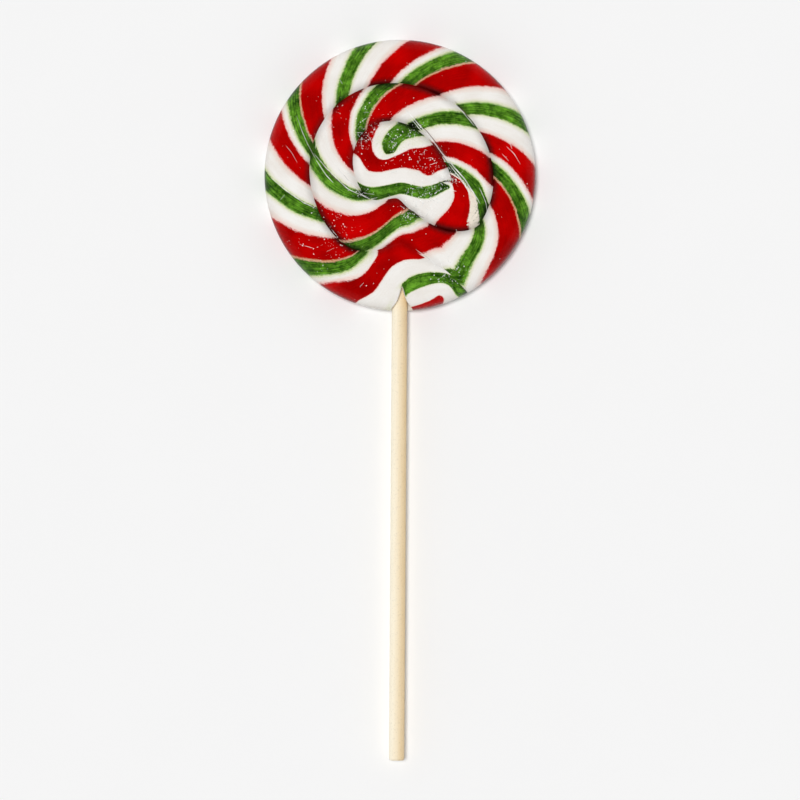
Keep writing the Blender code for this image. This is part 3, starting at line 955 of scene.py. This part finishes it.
def crease_tree():
    """Geometry tree of the creases: thin ridges laid down on the candy's top."""
    tree, source, result = new_geometry_tree(
        "Film creases",
        [
            ("Geometry", "NodeSocketGeometry", None),
            ("Candy", "NodeSocketObject", None),
            ("Step", "NodeSocketFloat", 0.00025),
            ("Height share", "NodeSocketFloat", 0.5),
            ("Material", "NodeSocketMaterial", None),
        ],
        [("Geometry", "NodeSocketGeometry")],
    )
    curve = add_node(tree, "GeometryNodeMeshToCurve", Mesh=source.outputs["Geometry"])
    eased = add_node(tree, "GeometryNodeCurveSplineType", {"spline_type": "CATMULL_ROM"}, Curve=curve.outputs[0])
    fine = add_node(tree, "GeometryNodeResampleCurve", {"mode": "LENGTH"}, Curve=eased.outputs[0])
    feed(tree, source.outputs["Step"], fine.inputs["Length"])
    place = add_node(tree, "GeometryNodeInputPosition").outputs[0]
    shiver = add_node(tree, "ShaderNodeTexNoise", {"noise_dimensions": "3D"}, Vector=place, Scale=500.0)
    nudge = add_node(tree, "ShaderNodeVectorMath", {"operation": "MULTIPLY_ADD"})
    feed(tree, shiver.outputs["Color"], nudge.inputs[0])
    nudge.inputs[1].default_value = (0.3 * MM, 0.3 * MM, 0.0)
    nudge.inputs[2].default_value = (-0.15 * MM, -0.15 * MM, 0.0)
    shaken = add_node(tree, "GeometryNodeSetPosition", Geometry=fine.outputs[0], Offset=nudge.outputs[0])
    fall = add_node(tree, "GeometryNodeRaycast")
    feed(tree, candy_surface(tree, source), fall.inputs["Target Geometry"])
    fall.inputs["Ray Direction"].default_value = (0.0, 0.0, -1.0)
    fall.inputs["Ray Length"].default_value = 1.0
    laid = add_node(tree, "GeometryNodeSetPosition", Geometry=shaken.outputs[0])
    feed(tree, fall.outputs["Hit Position"], laid.inputs["Position"])
    along = Flow(tree, add_node(tree, "GeometryNodeSplineParameter").outputs["Factor"])
    taper = (along * (1.0 - along) * 4.0).most(0.02).sqrt()
    half = add_node(tree, "GeometryNodeInputNamedAttribute", {"data_type": "FLOAT"}, Name="half_width")
    size = Flow(tree, half.outputs[0]) * taper
    sized = add_node(tree, "GeometryNodeSetCurveRadius", Curve=laid.outputs[0])
    feed(tree, size, sized.inputs["Radius"])
    profile = add_node(tree, "GeometryNodeCurvePrimitiveCircle", {"mode": "RADIUS"}, Resolution=8, Radius=1.0)
    squash = add_node(tree, "GeometryNodeTransform", Geometry=profile.outputs[0])
    height = add_node(tree, "ShaderNodeCombineXYZ", X=1.0, Z=1.0)
    feed(tree, source.outputs["Height share"], height.inputs["Y"])
    feed(tree, height.outputs[0], squash.inputs["Scale"])
    tube = add_node(tree, "GeometryNodeCurveToMesh", Curve=sized.outputs[0])
    feed(tree, squash.outputs[0], tube.inputs["Profile Curve"])
    if "Scale" in tube.inputs:
        feed(tree, size, tube.inputs["Scale"])
    tube.inputs["Fill Caps"].default_value = True
    smooth = add_node(tree, "GeometryNodeSetShadeSmooth", Geometry=tube.outputs[0])
    finish_tree(tree, smooth.outputs[0], source, result)
    return tree


def glint_density(tree, place):
    """How many glints each place has: bells around the crowded spots, and a few everywhere."""
    spot = add_node(tree, "ShaderNodeSeparateXYZ", Vector=place)
    x, y, z = (Flow(tree, socket) for socket in spot.outputs)
    total = 0.03
    for middle_x, middle_y, spread, amount in GLINT_CLUSTERS:
        across = (x - middle_x * MM) ** 2 + (y - middle_y * MM) ** 2
        total = (across / (-2.0 * (spread * MM) ** 2)).exp() * amount + total
    return total * z.over(COIL_HIGH.z * 0.8)


def glint_tree():
    """Geometry tree of the glints: dots and slivers scattered over the candy's top, whose white colour paints the
    film's highlights.
    """
    tree, source, result = new_geometry_tree(
        "Film glints",
        [
            ("Geometry", "NodeSocketGeometry", None),
            ("Candy", "NodeSocketObject", None),
            ("Density", "NodeSocketFloat", 1.0e6),
            ("Seed", "NodeSocketInt", 4),
            ("Material", "NodeSocketMaterial", None),
        ],
        [("Geometry", "NodeSocketGeometry")],
    )
    surface = candy_surface(tree, source)
    place = add_node(tree, "GeometryNodeInputPosition").outputs[0]
    density = glint_density(tree, place) * Flow(tree, source.outputs["Density"])
    joined = tree.nodes.new("GeometryNodeJoinGeometry")
    kinds = (
        (1.5, (0.04, 0.04, 0.01), (0.10, 0.08, 0.015), 0),
        (0.35, (0.09, 0.09, 0.01), (0.22, 0.18, 0.02), 50),
        (0.08, (0.4, 0.03, 0.01), (1.4, 0.06, 0.015), 90),
    )
    for share, small, large, shift in kinds:
        seed = Flow(tree, source.outputs["Seed"]) + float(shift)
        spread = add_node(tree, "GeometryNodeDistributePointsOnFaces", {"distribute_method": "RANDOM"})
        feed(tree, surface, spread.inputs["Mesh"])
        feed(tree, density * share, spread.inputs["Density"])
        feed(tree, seed, spread.inputs["Seed"])
        turn = add_node(tree, "FunctionNodeRandomValue", {"data_type": "FLOAT"})
        feed(tree, seed + 1.0, turn.inputs["Seed"])
        turn.inputs[2].default_value = 0.0
        turn.inputs[3].default_value = TURN
        axis = add_node(tree, "ShaderNodeCombineXYZ", Z=turn.outputs[1])
        spun = add_node(tree, "FunctionNodeRotateRotation", {"rotation_space": "LOCAL"})
        feed(tree, spread.outputs["Rotation"], spun.inputs["Rotation"])
        feed(tree, axis.outputs[0], spun.inputs["Rotate By"])
        size = add_node(tree, "FunctionNodeRandomValue", {"data_type": "FLOAT_VECTOR"})
        feed(tree, seed + 2.0, size.inputs["Seed"])
        size.inputs[0].default_value = [value * MM for value in small]
        size.inputs[1].default_value = [value * MM for value in large]
        grain = add_node(tree, "GeometryNodeMeshIcoSphere", Radius=1.0, Subdivisions=1)
        placed = add_node(tree, "GeometryNodeInstanceOnPoints", Points=spread.outputs["Points"])
        feed(tree, grain.outputs["Mesh"], placed.inputs["Instance"])
        feed(tree, spun.outputs[0], placed.inputs["Rotation"])
        feed(tree, size.outputs[0], placed.inputs["Scale"])
        tree.links.new(placed.outputs[0], joined.inputs[0])
    # Painted highlight: every glint takes the film's full white tone
    bright = add_node(
        tree, "GeometryNodeStoreNamedAttribute", {"data_type": "FLOAT", "domain": "INSTANCE"}, Name="tone"
    )
    feed(tree, joined.outputs[0], bright.inputs["Geometry"])
    bright.inputs["Value"].default_value = 1.0
    finish_tree(tree, bright.outputs[0], source, result)
    return tree


class LollipopShape(bpy.types.PropertyGroup):
    """Sizes of the candy's relief and twist."""

    groove_depth: FloatProperty(
        name="Groove depth", description="Depth of the groove between turns", default=1.0 * MM, unit="LENGTH"
    )
    groove_shoulder: FloatProperty(
        name="Groove shoulder", description="Width of each rounded side of the groove", default=2.8 * MM,
        unit="LENGTH",
    )
    twist_length: FloatProperty(
        name="Twist length", description="Length of rope in one full twist", default=41.7 * MM, unit="LENGTH"
    )
    stripe_lean: FloatProperty(
        name="Stripe lean", description="How far a stripe runs along the rope as it crosses it",
        default=12.6 * MM, unit="LENGTH",
    )


class LollipopColours(bpy.types.PropertyGroup):
    """Colours of the candy and the stick."""

    red: FloatVectorProperty(
        name="Red", description="Red stripes", default=linear(190, 1, 1), size=3, subtype="COLOR"
    )
    green: FloatVectorProperty(
        name="Green", description="Green stripes", default=linear(62, 133, 28), size=3, subtype="COLOR"
    )
    white: FloatVectorProperty(
        name="White", description="White sugar", default=linear(245, 243, 239), size=3, subtype="COLOR"
    )
    wood: FloatVectorProperty(
        name="Wood", description="Birch stick", default=linear(255, 246, 224), size=3, subtype="COLOR"
    )


class LOLLIPOP_OT_candy_rope(bpy.types.Operator):
    """Coil the striped rope and open the split over the stick"""

    bl_idname = "lollipop.candy_rope"
    bl_label = "Candy rope"

    def execute(self, context):
        shape = context.scene.lollipop_shape
        colours = context.scene.lollipop_colours
        values = {
            "Radius": COIL_HIGH.x,
            "Thickness": COIL_HIGH.z,
            "Groove depth": shape.groove_depth,
            "Groove shoulder": shape.groove_shoulder,
            "Twist length": shape.twist_length,
            "Stripe lean": shape.stripe_lean,
            "Material": candy_material(colours),
        }
        candy = grow("candy_rope", coil_tree(), values, stripe_mesh())
        sugar = sugar_material(colours)
        axis_height = COIL_HIGH.z / 2
        candy = cut(candy, split_cutter(), sugar)
        socket = rod(
            "socket_cutter", STICK_HIGH.z - axis_height + SOCKET_GAP, -COIL_HIGH.x - 2 * MM,
            STICK_HIGH.y + SOCKET_GAP, STICK_SIDES, axis_height,
        )
        candy = cut(candy, socket, sugar)
        seat(candy, "candy", "candy_coil")
        return {"FINISHED"}


class LOLLIPOP_OT_film_creases(bpy.types.Operator):
    """Lay the clear film's creases on the candy"""

    bl_idname = "lollipop.film_creases"
    bl_label = "Film creases"

    def execute(self, context):
        values = {
            "Candy": bpy.data.objects["candy_rope"],
            "Step": FILM_STEP,
            "Height share": 0.55,
            "Material": film_material("film_crease", 0.55),
        }
        creases = grow("film_creases", crease_tree(), values, crease_mesh())
        seat(creases, "candy")
        return {"FINISHED"}


class LOLLIPOP_OT_film_glints(bpy.types.Operator):
    """Scatter the white specks that paint the highlights where the clear film is crumpled"""

    bl_idname = "lollipop.film_glints"
    bl_label = "Film glints"

    def execute(self, context):
        values = {
            "Candy": bpy.data.objects["candy_rope"],
            "Density": GLINT_DENSITY,
            "Seed": 4,
            "Material": film_material("film_glint", 0.6),
        }
        glints = grow("film_glints", glint_tree(), values)
        seat(glints, "candy")
        return {"FINISHED"}


class LOLLIPOP_OT_wooden_stick(bpy.types.Operator):
    """Turn the birch stick with its worn ends"""

    bl_idname = "lollipop.wooden_stick"
    bl_label = "Wooden stick"

    def execute(self, context):
        axis_height = COIL_HIGH.z / 2
        radius = STICK_HIGH.z - axis_height
        low, high = STICK_LOW.y, STICK_HIGH.y

        def reach(y, turn):
            end = min(y - low, high - y)
            chamfer = max(0.0, 1 - end / STICK_CHAMFER)
            grain = noise.noise(Vector((9 * math.cos(turn), 30 * y, 9 * math.sin(turn))))
            return -STICK_CHAMFER * chamfer - 0.02 * MM * (1 + grain)

        stick = rod("wooden_stick", radius, low, high, STICK_SIDES, axis_height, reach)
        skin(stick, birch_material(context.scene.lollipop_colours))
        seat(stick, "birch", "stick")
        return {"FINISHED"}


class LOLLIPOP_OT_stage(bpy.types.Operator):
    """Set up the floor, the lights and the camera"""

    bl_idname = "lollipop.stage"
    bl_label = "Stage"

    def execute(self, context):
        scene = context.scene
        scene.view_settings.view_transform = "Standard"
        scene.view_settings.look = "None"

        mesh = bmesh.new()
        bmesh.ops.create_grid(mesh, x_segments=1, y_segments=1, size=3.0)
        floor = object_from("floor", mesh)
        material, tree, shader = new_material("pale_floor", (0.9, 0.9, 0.9))
        place = tree.nodes.new("ShaderNodeTexCoord").outputs["Object"]
        patch = speckle(tree, place, 40.0, 2.0)
        pale = colour_mix(tree, (0.905, 0.905, 0.905), (0.915, 0.915, 0.915), patch)
        tree.links.new(pale, shader.inputs["Base Color"])
        shader.inputs["Roughness"].default_value = 1.0
        shader.inputs["Specular IOR Level"].default_value = 0.0
        skin(floor, material, smooth=False)

        world = bpy.data.worlds.new("light_tent")
        world.use_nodes = True
        scene.world = world
        tree = world.node_tree
        direction = tree.nodes.new("ShaderNodeTexCoord").outputs["Generated"]
        height = Flow(tree, add_node(tree, "ShaderNodeSeparateXYZ", Vector=direction).outputs[2])
        open_sky = 1.0 - height.smooth(0.55, 0.85)
        strength = open_sky * WORLD_STRENGTH + 0.02
        background = tree.nodes["Background"]
        background.inputs["Color"].default_value = (1.0, 1.0, 1.0, 1.0)
        feed(tree, strength, background.inputs["Strength"])

        sun = bpy.data.lights.new("key_light", "SUN")
        sun.energy = SUN_STRENGTH
        sun.angle = SUN_ANGLE
        lamp = bpy.data.objects.new("key_light", sun)
        scene.collection.objects.link(lamp)
        lamp.visible_glossy = False
        lamp.rotation_mode = "QUATERNION"
        lamp.rotation_quaternion = Vector(KEY_DIRECTION).to_track_quat("-Z", "Y")

        middle = (CAD_BOX[0] + CAD_BOX[1]) / 2
        view = bpy.data.cameras.new("camera")
        view.lens = CAMERA_LENS
        view.sensor_width = CAMERA_SENSOR
        camera = bpy.data.objects.new("camera", view)
        scene.collection.objects.link(camera)
        distance = VIEW_WIDTH * CAMERA_LENS / CAMERA_SENSOR
        camera.location = (VIEW_CENTRE_X, middle.y, middle.z + distance)
        view.clip_end = 10.0
        scene.camera = camera
        return {"FINISHED"}


WORLD_STRENGTH = 0.55
SUN_STRENGTH = 2.27
KEY_DIRECTION = (0.11, -0.05, -1.0)
SUN_ANGLE = math.radians(14)
CAMERA_LENS = 200.0
CAMERA_SENSOR = 36.0
VIEW_WIDTH = 206.6 * MM
VIEW_CENTRE_X = 0.0

STEPS = (
    LOLLIPOP_OT_candy_rope,
    LOLLIPOP_OT_film_creases,
    LOLLIPOP_OT_film_glints,
    LOLLIPOP_OT_wooden_stick,
    LOLLIPOP_OT_stage,
)


class LOLLIPOP_PT_panel(bpy.types.Panel):
    """Lists the lollipop's pieces and settings"""

    bl_idname = "LOLLIPOP_PT_panel"
    bl_label = "Lollipop"
    bl_space_type = "VIEW_3D"
    bl_region_type = "UI"
    bl_category = "Lollipop"

    def draw(self, context):
        for group in (context.scene.lollipop_shape, context.scene.lollipop_colours):
            box = self.layout.box()
            for name in group.bl_rna.properties.keys():
                if name not in ("rna_type", "name"):
                    box.prop(group, name)
        for step in STEPS:
            self.layout.operator(step.bl_idname)


CLASSES = (LollipopShape, LollipopColours, *STEPS, LOLLIPOP_PT_panel)


def register():
    for item in CLASSES:
        bpy.utils.register_class(item)
    bpy.types.Scene.lollipop_shape = PointerProperty(type=LollipopShape)
    bpy.types.Scene.lollipop_colours = PointerProperty(type=LollipopColours)


def unregister():
    del bpy.types.Scene.lollipop_colours
    del bpy.types.Scene.lollipop_shape
    for item in reversed(CLASSES):
        bpy.utils.unregister_class(item)


def main():
    register()
    bpy.ops.lollipop.candy_rope()
    bpy.ops.lollipop.film_creases()
    bpy.ops.lollipop.film_glints()
    bpy.ops.lollipop.wooden_stick()
    bpy.ops.lollipop.stage()


if __name__ == "__main__":
    main()
